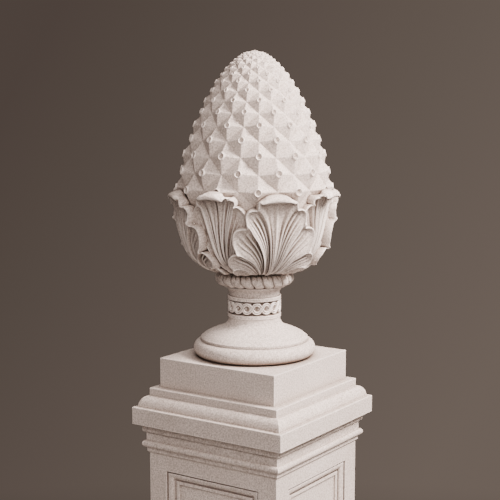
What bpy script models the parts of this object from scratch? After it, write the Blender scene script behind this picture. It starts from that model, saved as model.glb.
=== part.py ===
"""Pineapple finial on a moulded pier cap and the panelled head of its pier, in cast stone.

Metres, +Z up. The work stands on z = 0 with its axis on the Z axis, and one panelled face looks to -Y.
Three separate stones: the finial, the pier cap and the panelled pier block.
Angles round the axis are in degrees from -Y towards +X.
"""

import math

import bmesh
import bpy
from mathutils import Vector

# Gap left between two stones that rest on each other
JOINT_GAP = 0.0003
# Vertices of a fused mesh closer than this become one
WELD = 0.00001
# Faces that lean this little to each other are one, and edges steeper than this stay sharp, in degrees
FLAT_ANGLE = 0.5
SHARP_ANGLE = 12.0

# Panelled pier block, square on plan, cut off flat below
BLOCK_SIDE = 0.393
BLOCK_HEIGHT = 0.390
STILE_WIDTH = 0.054
TOP_RAIL = 0.041
BOTTOM_RAIL = 0.054

# Sunk moulding round each panel: quirk, ovolo, hollow and fillet, then the flat field
QUIRK_WIDTH = 0.0042
QUIRK_DEPTH = 0.0065
OVOLO_TOP_DEPTH = 0.0030
PANEL_OVOLO_WIDTH = 0.0150
PANEL_OVOLO_DROP = 0.0090
HOLLOW_INSET = 0.0235
HOLLOW_DEPTH = 0.0140
PANEL_FILLET_DEPTH = 0.0105
PANEL_FILLET_INSET = 0.0325
FIELD_INSET = 0.0335
FIELD_DEPTH = 0.0160

# Bed moulding on top of the block: fillet, bead, frieze and cyma
BED_HEIGHT = 0.079
BED_FILLET_SIDE = 0.403
BED_FILLET_FOOT = 0.0055
BED_FILLET_TOP = 0.0130
BEAD_RADIUS = 0.0090
BEAD_CENTRE = 0.0255
FRIEZE_SIDE = 0.405
CYMA_SIDE = 0.437
CYMA_HEIGHT = 0.019
CYMA_LIP = 0.003

# Pier cap from the bottom up: fascia, ovolo, step and plinth
FASCIA_SIDE = 0.457
FASCIA_HEIGHT = 0.045
OVOLO_SIDE = 0.435
OVOLO_HEIGHT = 0.029
STEP_SIDE = 0.392
STEP_HEIGHT = 0.020
PLINTH_SIDE = 0.352
PLINTH_HEIGHT = 0.078

# Turned foot of the finial, heights above the plinth
TORUS_RADIUS = 0.1588
TORUS_HEIGHT = 0.0410
RIM_RADIUS = 0.1397
RIM_TOP = 0.0485
ARRIS_RADIUS = 0.0850
ARRIS_HEIGHT = 0.0745
COVE_TOP_RADIUS = 0.0670

# Guilloche band: two ribbons that wind round a row of eyes
BAND_RADIUS = 0.0694
BAND_BOTTOM = 0.1025
BAND_TOP = 0.1583
BAND_FILLET = 0.0095
BAND_EYES = 16
BAND_TURN = 7.5
BAND_EYE_RADIUS = 0.0058
BAND_POCKET_WIDTH = 0.0130
BAND_POCKET_HEIGHT = 0.0075
BAND_SINK = 0.0040

# Neck and rope collar
NECK_RADIUS = 0.0655
NECK_FOOT = 0.1600
NECK_LIP_RADIUS = 0.0790
NECK_LIP_HEIGHT = 0.1810
NECK_LIP_TOP = 0.1835
ROPE_RING_RADIUS = 0.0850
ROPE_THICKNESS = 0.0350
ROPE_SLANT = 0.45
ROPE_HEIGHT = 0.2005
ROPE_STRANDS = 24
ROPE_GROOVE = 0.0035

# Egg-shaped body, measured over the points of its facets
EGG_RADIUS = 0.2110
EGG_WIDEST = 0.4050
EGG_TOP = 0.7870
EGG_POINT_POWER = 1.50
EGG_ROUND_POWER = 0.62
EGG_UNDERSIDE = 0.1900

# Diamond facets: pyramids in staggered rows, each with a drilled eye at its point
FACETS_PER_ROW = 12
FACET_FOOT_ROW = 0.3910
FACET_FIRST_ROW = 0.4390
FACET_ROW_RATIO = 0.86
FACET_RELIEF_RATIO = 0.24
FACET_EYE_RATIO = 0.17
FACET_EYE_DEPTH_RATIO = 0.15
FACET_SMALLEST_EYE = 0.0300
FACET_LAST_RADIUS = 0.0300

# Plain bowl that carries the leaves: radius and height from its top down to the collar
BOWL_PROFILE = (
    (0.1860, 0.3500), (0.1740, 0.3000), (0.1460, 0.2600), (0.1080, 0.2380), (0.0820, 0.2290),
)

# Acanthus leaves: eight, those on the diagonals lapping over the ones between them
LEAF_COUNT = 8
LEAF_TURN = 0.4
LEAF_LAP = 0.0050
LEAF_THICKNESS = 0.0120
LEAF_DISH = 0.0080
LEAF_CHANNEL = 0.0040
LEAF_RIDGE = 0.0020
LEAF_MIDRIB_GROOVE = 0.0030
LEAF_BASE_SPREAD = 10.0
# Middle of the blade from the collar up and out over the curled tip: radius and height
LEAF_PATH = (
    (0.0900, 0.2270), (0.1220, 0.2350), (0.1510, 0.2560), (0.1725, 0.2900), (0.1850, 0.3300),
    (0.1930, 0.3650), (0.1980, 0.3930), (0.2040, 0.4120), (0.2125, 0.4245), (0.2215, 0.4270),
    (0.2280, 0.4210),
)
# Lobes of one half from the base to the tip: start, two controls and end of each,
# as degrees from the midrib and metres along the blade
LEAF_LOBES = (
    ((14.0, 0.004), (28.0, 0.006), (42.0, 0.034), (28.0, 0.050)),
    ((28.0, 0.050), (40.0, 0.064), (40.0, 0.092), (25.0, 0.100)),
    ((25.0, 0.100), (33.0, 0.114), (34.0, 0.156), (20.5, 0.162)),
    ((20.5, 0.162), (23.5, 0.178), (23.5, 0.212), (14.0, 0.214)),
    ((14.0, 0.214), (14.5, 0.240), (10.0, 0.268), (0.0, 0.262)),
)
LOBE_STEPS = (1, 1, 2, 2, 2)
# Where the front and the hidden back of a leaf have their rows, from the base at 0 to the edge at 1
FRONT_ROWS = (0.0, 0.4, 0.7, 0.88, 1.0)
BACK_ROWS = (0.0, 0.7, 1.0)
LEAF_ROOT = 0.0120

# How far the finial stands turned on its plinth, in degrees
FINIAL_TURN = 5.5

LATHE_STEPS = 32

STONE_COLOUR = (0.62, 0.56, 0.52, 1.0)
STONE_ROUGHNESS = 0.85

CAP_BOTTOM = BLOCK_HEIGHT + BED_HEIGHT
PLINTH_TOP = CAP_BOTTOM + FASCIA_HEIGHT + OVOLO_HEIGHT + STEP_HEIGHT + PLINTH_HEIGHT


# Shared helpers

def stone_material():
    """Pale warm-grey cast stone."""
    material = bpy.data.materials.new("cast_stone")
    material.use_nodes = True
    shader = material.node_tree.nodes["Principled BSDF"]
    shader.inputs["Base Color"].default_value = STONE_COLOUR
    shader.inputs["Roughness"].default_value = STONE_ROUGHNESS
    shader.inputs["Metallic"].default_value = 0.0
    return material


def mesh_object(name, bm):
    """Turn a bmesh into a linked object with its faces outward."""
    bmesh.ops.triangulate(bm, faces=bm.faces)
    bmesh.ops.recalc_face_normals(bm, faces=bm.faces)
    if bm.calc_volume(signed=True) < 0:
        bmesh.ops.reverse_faces(bm, faces=bm.faces)
    mesh = bpy.data.meshes.new(name)
    bm.to_mesh(mesh)
    bm.free()
    obj = bpy.data.objects.new(name, mesh)
    bpy.context.scene.collection.objects.link(obj)
    return obj


def combine(body, others, operation):
    """Fuse other closed meshes into the body one after another, or cut them out of it, and remove them."""
    for other in others:
        modifier = body.modifiers.new(other.name, "BOOLEAN")
        modifier.operation = operation
        modifier.solver = "EXACT"
        modifier.object = other
        depsgraph = bpy.context.evaluated_depsgraph_get()
        body.data = bpy.data.meshes.new_from_object(body.evaluated_get(depsgraph))
        body.modifiers.clear()
        bpy.data.objects.remove(other, do_unlink=True)
        bm = bmesh.new()
        bm.from_mesh(body.data)
        bmesh.ops.remove_doubles(bm, verts=bm.verts, dist=WELD)
        bmesh.ops.triangulate(bm, faces=bm.faces)
        bmesh.ops.dissolve_degenerate(bm, dist=WELD, edges=bm.edges)
        bm.to_mesh(body.data)
        bm.free()


def simplify(body):
    """Merge the flat triangles that the fusing left behind, and set smooth shading with sharp arrises."""
    bm = bmesh.new()
    bm.from_mesh(body.data)
    bmesh.ops.dissolve_limit(bm, angle_limit=math.radians(FLAT_ANGLE), verts=bm.verts, edges=bm.edges)
    bmesh.ops.triangulate(bm, faces=bm.faces)
    bmesh.ops.dissolve_degenerate(bm, dist=WELD, edges=bm.edges)
    bm.to_mesh(body.data)
    bm.free()
    body.data.shade_smooth()
    body.data.set_sharp_from_angle(angle=math.radians(SHARP_ANGLE))


def ring(bm, points):
    """Add a loop of vertices."""
    return [bm.verts.new(point) for point in points]


def bridge(bm, lower, upper):
    """Join two closed loops of equal length with faces."""
    for i, vertex in enumerate(lower):
        j = (i + 1) % len(lower)
        bm.faces.new((vertex, lower[j], upper[j], upper[i]))


def zip_loops(bm, lower, upper):
    """Join two closed loops of different length with triangles."""
    low, high = 0, 0
    while low < len(lower) or high < len(upper):
        a = lower[low % len(lower)]
        b = upper[high % len(upper)]
        if (low + 1) * len(upper) <= (high + 1) * len(lower):
            low += 1
            bm.faces.new((a, lower[low % len(lower)], b))
        else:
            high += 1
            bm.faces.new((a, upper[high % len(upper)], b))


def around(degrees, radius, height):
    """Point at an angle round the axis."""
    angle = math.radians(degrees)
    return Vector((radius * math.sin(angle), -radius * math.cos(angle), height))


def arc(centre, radii, start, end, steps):
    """Elliptical arc in a profile, with angles from the outward direction."""
    points = []
    for i in range(steps + 1):
        angle = math.radians(start + (end - start) * i / steps)
        points.append((centre[0] + radii[0] * math.cos(angle), centre[1] + radii[1] * math.sin(angle)))
    return points


def bezier(controls, t):
    """Point on a cubic curve given by its ends and two controls."""
    a, b, c, d = (Vector(point) for point in controls)
    s = 1 - t
    return a * s ** 3 + b * 3 * s * s * t + c * 3 * s * t * t + d * t ** 3


# Pier block and cap

def square_loop(bm, side, height):
    """Loop of the four corners of a square section."""
    half = side / 2
    return ring(bm, [(x * half, y * half, height) for x, y in ((-1, -1), (1, -1), (1, 1), (-1, 1))])


def bed_moulding_profile():
    """Side and height of the fillet, bead, frieze and cyma above the block."""
    top = CAP_BOTTOM - JOINT_GAP
    profile = [(BED_FILLET_SIDE, BLOCK_HEIGHT + height) for height in (BED_FILLET_FOOT, BED_FILLET_TOP)]
    bead = arc((FRIEZE_SIDE / 2, BLOCK_HEIGHT + BEAD_CENTRE), (BEAD_RADIUS, BEAD_RADIUS), -90, 90, 6)
    profile += [(radius * 2, height) for radius, height in bead]
    foot = Vector((FRIEZE_SIDE / 2, top - CYMA_HEIGHT - CYMA_LIP))
    head = Vector((CYMA_SIDE / 2, top - CYMA_LIP))
    controls = (foot, (head.x, foot.y), (foot.x, head.y), head)
    profile += [(point.x * 2, point.y) for point in (bezier(controls, i / 5) for i in range(6))]
    profile.append((CYMA_SIDE, top))
    return profile


def panel_profile():
    """Inset from the panel's edge and depth below the face."""
    steps = [(0.0, 0.0), (0.0006, QUIRK_DEPTH), (QUIRK_WIDTH - 0.0002, QUIRK_DEPTH)]
    centre = (QUIRK_WIDTH, OVOLO_TOP_DEPTH + PANEL_OVOLO_DROP)
    steps += arc(centre, (PANEL_OVOLO_WIDTH, -PANEL_OVOLO_DROP), 90, 0, 4)
    steps += [(HOLLOW_INSET, HOLLOW_DEPTH), (HOLLOW_INSET + 0.0010, PANEL_FILLET_DEPTH)]
    steps += [(PANEL_FILLET_INSET, PANEL_FILLET_DEPTH), (FIELD_INSET, FIELD_DEPTH)]
    return steps


def sunk_panel(bm, corners, side_index):
    """Fill one side of the block with its moulded panel. The corners run round the side's edge."""
    quarter = side_index * 90
    half = BLOCK_SIDE / 2
    previous = corners
    for inset, depth in panel_profile():
        reach = half - STILE_WIDTH - inset
        low = BOTTOM_RAIL + inset
        high = BLOCK_HEIGHT - TOP_RAIL - inset
        points = []
        for x, z in ((-reach, low), (reach, low), (reach, high), (-reach, high)):
            points.append(around(quarter, half - depth, z) + around(quarter + 90, x, 0))
        loop = ring(bm, points)
        bridge(bm, previous, loop)
        previous = loop
    bm.faces.new(previous)


def pier_block():
    """Square block with four sunk panels and the bed moulding, cut flat below."""
    bm = bmesh.new()
    bottom = square_loop(bm, BLOCK_SIDE, 0.0)
    top = square_loop(bm, BLOCK_SIDE, BLOCK_HEIGHT)
    bm.faces.new(bottom)
    for i in range(4):
        j = (i + 1) % 4
        sunk_panel(bm, (bottom[i], bottom[j], top[j], top[i]), i)
    previous = top
    for side, height in bed_moulding_profile():
        loop = square_loop(bm, side, height)
        bridge(bm, previous, loop)
        previous = loop
    bm.faces.new(previous)
    return mesh_object("panelled_pier_block", bm)


def pier_cap():
    """Moulded cap stone with the square plinth on top."""
    base = CAP_BOTTOM
    ovolo_foot = base + FASCIA_HEIGHT
    step_foot = ovolo_foot + OVOLO_HEIGHT
    plinth_foot = step_foot + STEP_HEIGHT
    profile = [(FASCIA_SIDE, base), (FASCIA_SIDE, ovolo_foot)]
    ovolo = arc((STEP_SIDE / 2, ovolo_foot), ((OVOLO_SIDE - STEP_SIDE) / 2, OVOLO_HEIGHT), 0, 90, 6)
    profile += [(radius * 2, height) for radius, height in ovolo]
    profile += [(STEP_SIDE, plinth_foot), (PLINTH_SIDE, plinth_foot), (PLINTH_SIDE, PLINTH_TOP)]
    bm = bmesh.new()
    loops = [square_loop(bm, side, height) for side, height in profile]
    for lower, upper in zip(loops, loops[1:]):
        bridge(bm, lower, upper)
    bm.faces.new(loops[0])
    bm.faces.new(loops[-1])
    return mesh_object("pier_cap", bm)


# Turned foot, neck, band and rope

def foot_profile():
    """Radius and height of the turned foot, from the plinth up to the lip under the rope."""
    tube = TORUS_HEIGHT / 2
    dome = (RIM_RADIUS - 0.0012 - ARRIS_RADIUS, ARRIS_HEIGHT - RIM_TOP)
    cove = (ARRIS_RADIUS - COVE_TOP_RADIUS, BAND_BOTTOM - ARRIS_HEIGHT)
    neck = (NECK_LIP_RADIUS - NECK_RADIUS, NECK_LIP_HEIGHT - NECK_FOOT)
    profile = arc((TORUS_RADIUS - tube, tube), (tube, tube), -90, 90, 4)
    profile += [(RIM_RADIUS, TORUS_HEIGHT), (RIM_RADIUS, RIM_TOP)]
    profile += arc((ARRIS_RADIUS, RIM_TOP), dome, 0, 90, 3)
    profile += arc((ARRIS_RADIUS, BAND_BOTTOM), cove, 240, 180, 2)
    profile += [(BAND_RADIUS, BAND_BOTTOM), (BAND_RADIUS, BAND_TOP), (NECK_RADIUS, BAND_TOP)]
    profile += arc((NECK_LIP_RADIUS, NECK_FOOT), neck, 180, 90, 3)
    profile.append((NECK_LIP_RADIUS, NECK_LIP_TOP))
    return profile


def rope_loop(bm, turn):
    """Loop round the rope collar at an angle round its section, with a groove between strands."""
    tube = ROPE_THICKNESS / 2
    columns = 2 * ROPE_STRANDS
    slant = ROPE_SLANT * math.sin(turn) * 360 / ROPE_STRANDS
    points = []
    for i in range(columns):
        reach = tube - (ROPE_GROOVE if i % 2 else 0.0)
        points.append(around(i * 360 / columns - slant, ROPE_RING_RADIUS + reach * math.cos(turn),
                             ROPE_HEIGHT + reach * math.sin(turn)))
    return ring(bm, points)


def turned_loop(bm, radius, height):
    """Loop of the turned body, with its flats centred on the eyes of the band."""
    step = 360 / LATHE_STEPS
    return ring(bm, [around(BAND_TURN + (i + 0.5) * step, radius, height) for i in range(LATHE_STEPS)])


def turned_foot(bm, collar_top):
    """Foot, cove, band, neck and rope collar, from the flat underside up to a loop over the collar."""
    foot = [turned_loop(bm, radius, height) for radius, height in foot_profile()]
    rope = [rope_loop(bm, math.radians(turn)) for turn in (-70, -35, 0, 35, 70, 100)]
    for loops in (foot, rope):
        for lower, upper in zip(loops, loops[1:]):
            bridge(bm, lower, upper)
    zip_loops(bm, foot[-1], rope[0])
    zip_loops(bm, rope[-1], collar_top)
    bm.faces.new(foot[0])


def prism(bm, angle, outline):
    """Radial prism through the band's face, from an outline across and up."""
    inner = []
    outer = []
    for across, height in outline:
        turn = angle + math.degrees(across / BAND_RADIUS)
        inner.append(around(turn, BAND_RADIUS - BAND_SINK, height))
        outer.append(around(turn, BAND_RADIUS + BAND_SINK, height))
    inner = ring(bm, inner)
    outer = ring(bm, outer)
    bridge(bm, inner, outer)
    bm.faces.new(inner)
    bm.faces.new(outer)


def guilloche_cutter():
    """Sunk ground of the guilloche: the eyes, and the pockets above and below each crossing."""
    bm = bmesh.new()
    low = BAND_BOTTOM + BAND_FILLET
    high = BAND_TOP - BAND_FILLET
    middle = (low + high) / 2
    pitch = 360 / BAND_EYES
    wide = BAND_POCKET_WIDTH / 2
    for i in range(BAND_EYES):
        prism(bm, BAND_TURN + i * pitch, arc((0, middle), (BAND_EYE_RADIUS, BAND_EYE_RADIUS), 0, 300, 5))
        crossing = BAND_TURN + (i + 0.5) * pitch
        prism(bm, crossing, ((-wide, high), (0, high - BAND_POCKET_HEIGHT), (wide, high)))
        prism(bm, crossing, ((-wide, low), (wide, low), (0, low + BAND_POCKET_HEIGHT)))
    return mesh_object("guilloche_ground", bm)


# Egg-shaped body with its diamond facets

def egg_radius(height):
    """Radius over the facet points."""
    if height < EGG_WIDEST:
        below = (EGG_WIDEST - height) / EGG_UNDERSIDE
        return EGG_RADIUS * math.sqrt(1 - below * below)
    above = min(1.0, (height - EGG_WIDEST) / (EGG_TOP - EGG_WIDEST))
    return EGG_RADIUS * (1 - above ** EGG_POINT_POWER) ** EGG_ROUND_POWER


def egg_point(degrees, height, depth):
    """Point at a depth below the surface over the facet points."""
    step = 0.0005
    slope = (egg_radius(height + step) - egg_radius(height - step)) / (2 * step)
    length = math.hypot(1, slope)
    return around(degrees, egg_radius(height) - depth / length, height + depth * slope / length)


def facet_rows():
    """Heights of the rows, each a fixed share of the facets' half width above the last."""
    rows = [FACET_FOOT_ROW, FACET_FIRST_ROW]
    while egg_radius(rows[-1]) > FACET_LAST_RADIUS:
        height = rows[-1]
        distance = FACET_ROW_RATIO * egg_radius(height) * math.pi / FACETS_PER_ROW
        slope = (egg_radius(height + distance / 2) - egg_radius(height)) / (distance / 2)
        rows.append(height + distance / math.hypot(1, slope))
    return rows


def facet_grid(bm):
    """Vertices at the points and the valley corners. An eye's vertices are kept by direction."""
    columns = 2 * FACETS_PER_ROW
    rows = facet_rows()
    grid = []
    for i, height in enumerate(rows):
        half_width = egg_radius(height) * math.pi / FACETS_PER_ROW
        relief = FACET_RELIEF_RATIO * half_width
        line = []
        for k in range(columns):
            is_point = i > 0 and (i + k) % 2 == 1
            position = egg_point(k * 360 / columns, height, 0.0 if is_point else relief)
            has_eye = is_point and i < len(rows) - 1 and half_width > FACET_SMALLEST_EYE
            line.append({"position": position, "eye": has_eye, "half_width": half_width})
        grid.append(line)
    for i, line in enumerate(grid):
        for k, node in enumerate(line):
            if not node["eye"]:
                node["vertex"] = bm.verts.new(node["position"])
                continue
            node["rim"] = {}
            for step in ((0, 1), (1, 0), (0, -1), (-1, 0)):
                other = grid[i + step[0]][(k + step[1]) % columns]["position"]
                node["rim"][step] = bm.verts.new(node["position"].lerp(other, FACET_EYE_RATIO))
            floor = egg_point(k * 360 / columns, rows[i], FACET_EYE_DEPTH_RATIO * node["half_width"])
            hollow = bm.verts.new(floor)
            rim = list(node["rim"].values())
            for a, b in zip(rim, rim[1:] + rim[:1]):
                bm.faces.new((a, b, hollow))
    return grid


def corner(node, step):
    """Vertices of a node seen from a neighbouring node in a given direction."""
    if node["eye"]:
        return node["rim"][step]
    return node["vertex"]


def facet_faces(bm, grid):
    """Sides of the pyramids: every cell of the grid is parted from valley corner to valley corner."""
    columns = len(grid[0])
    for i in range(len(grid) - 1):
        for k in range(columns):
            right = (k + 1) % columns
            if (i + k) % 2 == 1:
                ends = (((i, k), (0, 1), (1, 0)), ((i + 1, right), (0, -1), (-1, 0)))
                valley = (grid[i][right]["vertex"], grid[i + 1][k]["vertex"])
                orders = (valley, valley[::-1])
            else:
                ends = (((i, right), (1, 0), (0, -1)), ((i + 1, k), (-1, 0), (0, 1)))
                valley = (grid[i + 1][right]["vertex"], grid[i][k]["vertex"])
                orders = (valley, valley[::-1])
            for ((row, column), first, second), pair in zip(ends, orders):
                node = grid[row][column]
                loop = [corner(node, first), pair[0], pair[1], corner(node, second)]
                if loop[0] is loop[3]:
                    loop.pop()
                bm.faces.new(loop)


def faceted_egg(bm):
    """Facets, and the plain bowl below them, down to the loop that is returned."""
    grid = facet_grid(bm)
    facet_faces(bm, grid)
    top = bm.verts.new((0, 0, EGG_TOP))
    last = [node["vertex"] for node in grid[-1]]
    for a, b in zip(last, last[1:] + last[:1]):
        bm.faces.new((a, b, top))
    previous = [node["vertex"] for node in grid[0]]
    for radius, height in BOWL_PROFILE:
        loop = ring(bm, [around(k * 360 / len(previous), radius, height) for k in range(len(previous))])
        bridge(bm, loop, previous)
        previous = loop
    return previous


# Acanthus leaves

def smooth_path(points, steps):
    """Curve through a list of profile points, as many short steps."""
    points = [Vector(point) for point in points]
    padded = [points[0] * 2 - points[1]] + points + [points[-1] * 2 - points[-2]]
    path = []
    for a, b, c, d in zip(padded, padded[1:], padded[2:], padded[3:]):
        controls = (b, b + (c - a) / 6, c - (d - b) / 6, c)
        path += [bezier(controls, i / steps) for i in range(steps)]
    path.append(points[-1])
    return path


def path_at(path, distance):
    """Point and outward normal at a distance along a profile path."""
    travelled = 0.0
    for a, b in zip(path, path[1:]):
        length = (b - a).length
        if travelled + length >= distance or b is path[-1]:
            break
        travelled += length
    tangent = (b - a) / length
    return a + tangent * (distance - travelled), Vector((tangent.y, -tangent.x))


def leaf_outline():
    """Edge of a leaf from its right foot over the tip to its left foot.

    Each entry is the angle, the distance along the blade, and how far it lies inside its lobe, 0 to 1.
    """
    half = []
    for controls, steps in zip(LEAF_LOBES, LOBE_STEPS):
        for i in range(steps):
            t = i / steps
            point = bezier(controls, t)
            half.append((point.x, point.y, math.sin(math.pi * t)))
    tip = LEAF_LOBES[-1][3]
    left = [(-angle, distance, inside) for angle, distance, inside in reversed(half)]
    return half + [(tip[0], tip[1], 0.0)] + left


def leaf_lift(share, along, inside, reach):
    """Height of the blade's outer face over its middle surface.

    share runs from 1 at the right foot to -1 at the left foot, along from 0 at the base to 1 at the edge,
    and reach is the distance up the blade at which this line of the fan ends.
    """
    fullness = min(1.0, reach / 0.10)
    dish = LEAF_DISH * along ** 2 * min(1.0, abs(share) * 2.5)
    swell = math.sin(math.pi * along)
    channel = -LEAF_CHANNEL * inside * swell
    ridge = LEAF_RIDGE * (1 - inside) * swell
    if share == 0:
        ridge = -LEAF_MIDRIB_GROOVE * (1 - along)
    return LEAF_THICKNESS / 2 + fullness * (dish + channel + ridge)


def leaf_line(bm, centre, path, edge, share, lap):
    """One line of the fan: vertices of the front from base to edge, and of the back behind it."""
    end_angle, end_distance, inside = edge
    base_angle = share * LEAF_BASE_SPREAD
    controls = ((base_angle, 0.0), (base_angle * 1.1, end_distance * 0.35),
                (end_angle * 0.75, end_distance * 0.75), (end_angle, end_distance))
    front = []
    back = []
    for along in FRONT_ROWS:
        angle, distance = bezier(controls, along)
        middle, outward = path_at(path, distance)
        raised = middle + outward * (leaf_lift(share, along, inside, end_distance) + lap)
        front.append(bm.verts.new(around(centre + angle, raised.x, raised.y)))
        if along in BACK_ROWS:
            root = 0.0 if along in (0.0, 1.0) else LEAF_ROOT * min(1.0, end_distance / 0.10)
            depth = LEAF_THICKNESS + root
            sunk = raised - outward * depth
            back.append(bm.verts.new(around(centre + angle, sunk.x, sunk.y)))
    return front, back


def acanthus_leaf(index, path):
    """One thick leaf as a closed shell, lying on the bowl with its tip curled outward."""
    bm = bmesh.new()
    outline = leaf_outline()
    centre = index * 360 / LEAF_COUNT + LEAF_TURN
    lap = LEAF_LAP if index % 2 else 0.0
    lines = []
    for n, edge in enumerate(outline):
        share = 1 - 2 * n / (len(outline) - 1)
        lines.append(leaf_line(bm, centre, path, edge, share, lap))
    for (front, back), (next_front, next_back) in zip(lines, lines[1:]):
        for here, there in ((front, next_front), (back, next_back)):
            for row in range(len(here) - 1):
                bm.faces.new((here[row], there[row], there[row + 1], here[row + 1]))
        for row in (0, -1):
            bm.faces.new((front[row], next_front[row], next_back[row], back[row]))
    for front, back in (lines[0], lines[-1]):
        bm.faces.new(front + back[::-1])
    return mesh_object("leaf_" + str(index), bm)


def finial():
    """One casting: faceted egg, leaves, rope collar, neck, guilloche band and foot."""
    bm = bmesh.new()
    collar_top = faceted_egg(bm)
    turned_foot(bm, collar_top)
    body = mesh_object("pineapple_finial", bm)
    combine(body, [guilloche_cutter()], "DIFFERENCE")
    path = smooth_path(LEAF_PATH, 6)
    combine(body, [acanthus_leaf(i, path) for i in range(LEAF_COUNT)], "UNION")
    simplify(body)
    body.location.z = PLINTH_TOP + JOINT_GAP
    body.rotation_euler.z = math.radians(FINIAL_TURN)
    return body


def main():
    for obj in list(bpy.data.objects):
        bpy.data.objects.remove(obj, do_unlink=True)
    stone = stone_material()
    for piece in (pier_block(), pier_cap(), finial()):
        piece.data.materials.clear()
        piece.data.materials.append(stone)


main()
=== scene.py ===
"""Looks of the pineapple finial, its pier cap and the panelled head of the pier, in pale cast stone.

Metres, +Z up. Heights of the finial are measured from the plinth it stands on, and angles round the axis
are in degrees from -Y towards +X.
"""

import math

import bmesh
import bpy
import numpy as np
from mathutils import Matrix, Vector


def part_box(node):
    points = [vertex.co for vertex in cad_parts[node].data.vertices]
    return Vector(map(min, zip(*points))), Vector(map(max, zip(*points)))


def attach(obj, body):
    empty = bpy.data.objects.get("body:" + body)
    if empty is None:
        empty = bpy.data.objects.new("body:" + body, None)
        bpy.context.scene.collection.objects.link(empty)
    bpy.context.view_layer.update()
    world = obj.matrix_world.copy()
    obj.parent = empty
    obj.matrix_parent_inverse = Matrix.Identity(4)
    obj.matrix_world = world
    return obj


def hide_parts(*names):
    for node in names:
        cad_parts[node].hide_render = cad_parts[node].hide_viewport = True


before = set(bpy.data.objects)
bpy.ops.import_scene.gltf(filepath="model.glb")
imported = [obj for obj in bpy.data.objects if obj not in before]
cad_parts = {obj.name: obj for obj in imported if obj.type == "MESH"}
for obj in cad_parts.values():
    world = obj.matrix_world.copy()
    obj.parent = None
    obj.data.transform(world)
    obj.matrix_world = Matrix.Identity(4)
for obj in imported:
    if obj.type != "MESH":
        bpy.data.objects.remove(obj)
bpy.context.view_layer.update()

FINIAL = "pineapple_finial"
CAP = "pier_cap"
BLOCK = "panelled_pier_block"

# Levels of the three stones, from the frame
CAP_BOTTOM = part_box(CAP)[0].z
PLINTH_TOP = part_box(CAP)[1].z
FINIAL_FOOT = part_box(FINIAL)[0].z
BLOCK_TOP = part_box(BLOCK)[1].z

# Turn of the finial on its plinth, in degrees
FINIAL_TURN = 5.5

# Egg-shaped body over the points of its facets
EGG_RADIUS = 0.2065
EGG_WIDEST = 0.4430
EGG_TOP = 0.7870
EGG_POINT_POWER = 1.22
EGG_ROUND_POWER = 0.540
EGG_UNDERSIDE = 0.1900
# Degrees from which on an arris stays sharp
EGG_FLAT_ANGLE = 60
WELD_DISTANCE = 0.00002

# Rows of diamond facets: metres, and degrees by which they turn, each a little past the one below
FACETS_PER_ROW = 12
EGG_COLUMNS = 2 * FACETS_PER_ROW
FACET_FOOT_ROW = 0.3920
FACET_FIRST_ROW = 0.4400
FACET_FOOT_DEPTH = 0.0140
FACET_LAST_RADIUS = 0.0200
FACET_TURN = 0.8
FACET_TWIST = 0.48
# Shape of a facet, as shares of its half width
FACET_ROW_RATIO = 0.848
FACET_RELIEF_RATIO = 0.40
RIDGE_ROUNDING = 0.030
VALLEY_ROUNDING = 0.012
EYE_RATIO = 0.195
EYE_RIM_DROP = 0.050
EYE_RIM_ROUND = 0.024
EYE_DEPTH_RATIO = 0.10
# Where the rim of an eye starts, as a share of the eye's radius
EYE_RIM_START = 0.76
# Where a quarter of a facet's rings have their vertices, from one ridge to the next
QUARTER_STEPS = (0.0, 0.04, 0.11, 0.30, 0.50, 0.70, 0.89, 0.96)
# Rings over an eye as shares of its radius, and from the eye's edge to the facet's as shares of the way
EYE_RINGS = (0.25, 0.50, 0.66, 0.74, 0.80, 0.88, 0.96, 1.00)
FACET_RINGS = (0.03, 0.12, 0.38, 0.68, 0.90, 0.97, 1.00)
# Bowl under the facets, behind the leaves: radius and height
BOWL_PROFILE = (
    (0.182, 0.365), (0.174, 0.32), (0.158, 0.285), (0.1485, 0.2635), (0.1345, 0.2465),
    (0.112, 0.2345), (0.096, 0.2292), (0.07, 0.228),
)

# Acanthus leaves, and the middle of a blade in radius and height
LEAF_COUNT = 8
LEAF_TURN = -0.5
LEAF_PATH = (
    (0.09, 0.2265), (0.113, 0.2315), (0.137, 0.2425), (0.155, 0.258), (0.17, 0.28),
    (0.181, 0.31), (0.187, 0.34), (0.19, 0.37), (0.194, 0.395), (0.202, 0.413),
    (0.211, 0.422), (0.2195, 0.4235), (0.225, 0.419), (0.2265, 0.413), (0.2262, 0.406),
)
# Length of one degree round the leaves' faces
LEAF_DEGREE = 0.0034
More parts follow.
